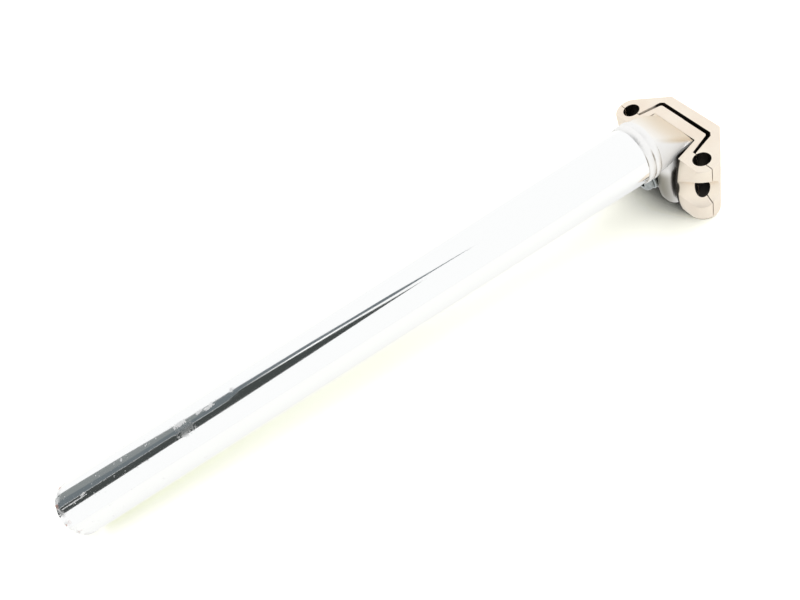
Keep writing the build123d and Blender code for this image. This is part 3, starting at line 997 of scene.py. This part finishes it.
class SEATPOST_OT_stage(bpy.types.Operator):
    """Set up the pale floor, the soft light and the camera"""

    bl_idname = "seatpost.stage"
    bl_label = "Stage"

    # Where along the post the floor's painted deep shadow begins and is full, and how closed in the floor has to
    # be
    SHADOW_ALONG = (0.02, 0.1)
    SHADOW_LEVELS = (0.12, 0.52)
    SHADOW_SAMPLES = 16
    NEAR_CLIP = 0.005

    # Edges of three cards over the post, from their tips, which the polished tube mirrors as a stripe
    CARD_HEIGHT = 0.8
    PALE_FAR_EDGE = ((-0.53, 0.47), (-0.69, 0.57), (-0.99, 0.92), (-1.39, 1.28), (-1.7, 1.5))
    PALE_NEAR_EDGE = ((-0.55, 0.22), (-0.77, 0.28), (-1.18, 0.61), (-1.6, 0.8))
    GREY_FAR_EDGE = (
        (0.09, -0.1), (0.062, -0.045), (-0.002, 0.015), (-0.089, 0.135), (-0.181, 0.205),
        (-0.281, 0.315), (-0.389, 0.385), (-0.5, 0.47), PALE_FAR_EDGE[0], *PALE_NEAR_EDGE,
    )
    GREY_NEAR_EDGE = (
        (0.06, -0.07), (-0.004, -0.035), (-0.0915, -0.005), (-0.18, 0.08), (-0.2745, 0.155),
        (-0.372, 0.19), (-0.44, 0.2), (-0.47, 0.02), (-0.97, 0.05), (-1.5, 0.12),
    )
    DARK_FAR_EDGE = (
        (-0.094, -0.115), (-0.181, 0.0), (-0.273, 0.07), (-0.369, 0.145), (-0.44, 0.195),
        (-0.47, 0.01), (-0.97, 0.035), (-1.5, 0.1),
    )
    DARK_NEAR_EDGE = ((-0.02, -0.175), (-0.3, -0.275), (-0.47, -0.32), (-0.97, -0.39), (-1.4, -0.5))
    CARDS = (
        ("pale_card", PALE_FAR_EDGE + PALE_NEAR_EDGE[::-1], (0.25, 0.27, 0.27)),
        ("grey_card", GREY_FAR_EDGE + GREY_NEAR_EDGE[::-1], (0.155, 0.18, 0.194)),
        ("dark_card", DARK_FAR_EDGE + DARK_NEAR_EDGE[::-1], (0.06, 0.067, 0.065)),
    )

    def flat_piece(self, name, outline, height):
        """A flat stage piece at a height, with a bare material: the piece and the material's tree."""
        mesh = bpy.data.meshes.new(name)
        mesh.from_pydata([(x, y, height) for x, y in outline], [], [range(len(outline))])
        piece = bpy.data.objects.new(name, mesh)
        bpy.context.scene.collection.objects.link(piece)
        paper = bpy.data.materials.new(name)
        paper.use_nodes = True
        paper.node_tree.nodes.clear()
        mesh.materials.append(paper)
        return piece, paper.node_tree

    def floor_paper(self, tree, props, path):
        """The floor's colour: paler to the camera, with a painted shadow, dark under the head and pale and tinted
        under the tube.
        """
        around = {"Distance": props.shadow_reach}
        near = tree_node(tree, "ShaderNodeAmbientOcclusion", around, samples=self.SHADOW_SAMPLES)
        closed = ramp(tree, near.outputs["AO"], *self.SHADOW_LEVELS, 1.0, 0.0)
        seen_colour = Vector(props.floor_colour) * props.floor_gain
        open_colour = blend_colours(tree, path["Is Camera Ray"], props.floor_colour, seen_colour)
        under_head = ramp(tree, axes(tree, object_place(tree))["X"], *self.SHADOW_ALONG)
        pale_shadow = Vector(props.tube_shadow_colour) * props.floor_gain
        shadow = blend_colours(tree, under_head, pale_shadow, props.shadow_colour)
        return blend_colours(tree, closed, open_colour, shadow)

    def make_floor(self, props):
        """Pale floor with a soft shadow, partly painted, and a share of plain white for camera, mirror and glass
        rays.
        """
        half = props.floor_size / 2
        corners = ((-half, -half), (half, -half), (half, half), (-half, half))
        _, tree = self.flat_piece("floor", corners, 0.0)
        path = tree_node(tree, "ShaderNodeLightPath").outputs
        matt = tree_node(tree, "ShaderNodeBsdfDiffuse", {"Color": self.floor_paper(tree, props, path)})
        white = tree_node(tree, "ShaderNodeEmission", {"Color": (1, 1, 1, 1), "Strength": 1.0})
        rays = (path["Is Camera Ray"], path["Is Glossy Ray"], path["Is Transmission Ray"])
        seen = math_node(tree, "MINIMUM", combined(tree, "ADD", rays), 1.0)
        whiteness = ramp(tree, path["Is Glossy Ray"], 0.0, 1.0, props.floor_white, props.mirror_white)
        share = product(tree, seen, whiteness)
        both = tree_node(tree, "ShaderNodeMixShader", {0: share, 1: matt.outputs[0], 2: white.outputs[0]})
        tree_node(tree, "ShaderNodeOutputMaterial", {"Surface": both.outputs[0]})

    def make_card(self, name, outline, colour):
        """Card seen in mirror reflections only."""
        card, tree = self.flat_piece(name, outline, self.CARD_HEIGHT)
        glow = tree_node(tree, "ShaderNodeEmission", {"Color": paint(colour), "Strength": 1.0})
        tree_node(tree, "ShaderNodeOutputMaterial", {"Surface": glow.outputs[0]})
        card.visible_camera = False
        card.visible_diffuse = False
        card.visible_shadow = False

    def make_light(self, props):
        """Even light all round, dimmed where metal would send it to the floor, and one soft lamp above."""
        world = bpy.data.worlds.new("even_light")
        world.use_nodes = True
        tree = world.node_tree
        tree.nodes.clear()
        path = tree_node(tree, "ShaderNodeLightPath").outputs
        from_floor = math_node(tree, "GREATER_THAN", path["Diffuse Depth"], 0.5)
        shaded = product(tree, path["Is Glossy Ray"], from_floor)
        level = ramp(tree, shaded, 0.0, 1.0, 1.0, props.shade_level)
        even = tree_node(tree, "ShaderNodeBackground", {"Color": (1, 1, 1, 1), "Strength": level})
        tree_node(tree, "ShaderNodeOutputWorld", {"Surface": even.outputs[0]})
        bpy.context.scene.world = world
        lamp = bpy.data.lights.new("soft_lamp", "AREA")
        lamp.energy = props.key_power
        lamp.size = props.key_size
        holder = bpy.data.objects.new("soft_lamp", lamp)
        holder.location = props.key_place
        holder.rotation_euler = Vector(props.key_place).to_track_quat("Z", "Y").to_euler()
        holder.visible_glossy = False
        bpy.context.scene.collection.objects.link(holder)

    def make_camera(self, props):
        """Camera at the viewing angle of the picture."""
        lens = bpy.data.cameras.new("camera")
        lens.lens = props.lens
        lens.sensor_width = props.sensor
        lens.sensor_fit = "HORIZONTAL"
        lens.clip_start = self.NEAR_CLIP
        holder = bpy.data.objects.new("camera", lens)
        holder.location = props.camera_place
        holder.rotation_euler = props.camera_turn
        bpy.context.scene.collection.objects.link(holder)
        bpy.context.scene.camera = holder

    def execute(self, context):
        props = context.scene.seatpost_stage
        self.make_floor(props)
        for name, outline, colour in self.CARDS:
            self.make_card(name, outline, colour)
        self.make_light(props)
        self.make_camera(props)
        context.scene.view_settings.view_transform = "Standard"
        return {"FINISHED"}


class SEATPOST_PT_panel(bpy.types.Panel):
    """Sizes, colours and steps of the seatpost"""

    bl_idname = "SEATPOST_PT_panel"
    bl_label = "Seatpost"
    bl_space_type = "VIEW_3D"
    bl_region_type = "UI"
    bl_category = "Seatpost"

    def draw(self, context):
        for place, _, operator in STEPS:
            box = self.layout.box()
            box.operator(operator.bl_idname)
            props = getattr(context.scene, place)
            for name in props.bl_rna.properties.keys():
                if name not in ("rna_type", "name"):
                    box.prop(props, name)


# Each step of the work: its place in the scene, its properties and its operator
STEPS = (
    ("seatpost_tube", SEATPOST_PG_tube, SEATPOST_OT_tube),
    ("seatpost_weld", SEATPOST_PG_weld, SEATPOST_OT_weld),
    ("seatpost_clamp", SEATPOST_PG_clamp, SEATPOST_OT_clamp),
    ("seatpost_fastener", SEATPOST_PG_fastener, SEATPOST_OT_fasteners),
    ("seatpost_stage", SEATPOST_PG_stage, SEATPOST_OT_stage),
)
CLASSES = (*(step[1] for step in STEPS), *(step[2] for step in STEPS), SEATPOST_PT_panel)


def register():
    for made in CLASSES:
        bpy.utils.register_class(made)
    for place, group, _ in STEPS:
        setattr(bpy.types.Scene, place, PointerProperty(type=group))


def unregister():
    for place, _, _ in STEPS:
        delattr(bpy.types.Scene, place)
    for made in reversed(CLASSES):
        bpy.utils.unregister_class(made)


def main():
    register()
    bpy.ops.seatpost.tube()
    bpy.ops.seatpost.weld()
    bpy.ops.seatpost.clamp()
    bpy.ops.seatpost.fasteners()
    bpy.ops.seatpost.stage()


if __name__ == "__main__":
    main()
